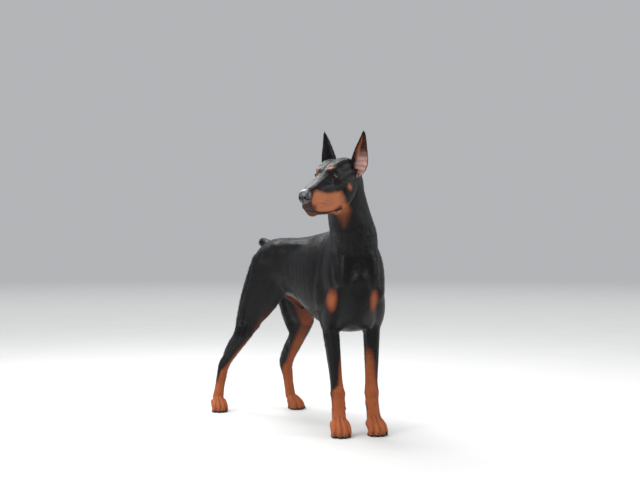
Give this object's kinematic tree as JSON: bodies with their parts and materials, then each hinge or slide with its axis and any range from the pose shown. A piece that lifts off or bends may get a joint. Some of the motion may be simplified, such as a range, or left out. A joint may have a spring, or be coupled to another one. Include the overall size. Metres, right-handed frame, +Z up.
{
  "type": "doberman pinscher",
  "caption": "Still life-size standing dog with a lean deep-chested body, erect ears, docked tail and head turned aside.",
  "frame": {"origin": "on the floor, under the middle of the whole dog's box", "axes": "+Z up, the trunk faces -Y, the dog's left side is +X; the head is turned to its right, towards -X"},
  "size_m": [0.5364, 0.9402, 1.0056],
  "materials": {
    "coat": "short glossy black fur with rust markings",
    "rust_coat": "short rust fur",
    "ear_skin": "thin skin, black fur behind, rust and pink inside",
    "eye": "wet dark brown eye",
    "nose_leather": "moist pebbled black leather",
    "claw": "black horn"
  },
  "bodies": {
    "root": {"claw_front_left_1": "claw", "claw_front_left_2": "claw", "claw_front_left_3": "claw", "claw_front_left_4": "claw", "claw_front_left_5": "claw", "claw_front_right_1": "claw", "claw_front_right_2": "claw", "claw_front_right_3": "claw", "claw_front_right_4": "claw", "claw_front_right_5": "claw", "claw_hind_left_1": "claw", "claw_hind_left_2": "claw", "claw_hind_left_3": "claw", "claw_hind_left_4": "claw", "claw_hind_right_1": "claw", "claw_hind_right_2": "claw", "claw_hind_right_3": "claw", "claw_hind_right_4": "claw", "ear_left": "ear_skin", "ear_right": "ear_skin", "eye_left": "eye", "eye_right": "eye", "foreleg_left": "coat", "foreleg_right": "coat", "front_paw_left": "rust_coat", "front_paw_right": "rust_coat", "head": "coat", "hind_paw_left": "rust_coat", "hind_paw_right": "rust_coat", "lower_jaw": "rust_coat", "lower_leg_left": "coat", "lower_leg_right": "coat", "neck": "coat", "nose": "nose_leather", "tail": "coat", "thigh_left": "coat", "thigh_right": "coat", "torso": "coat"}
  },
  "joints": []
}
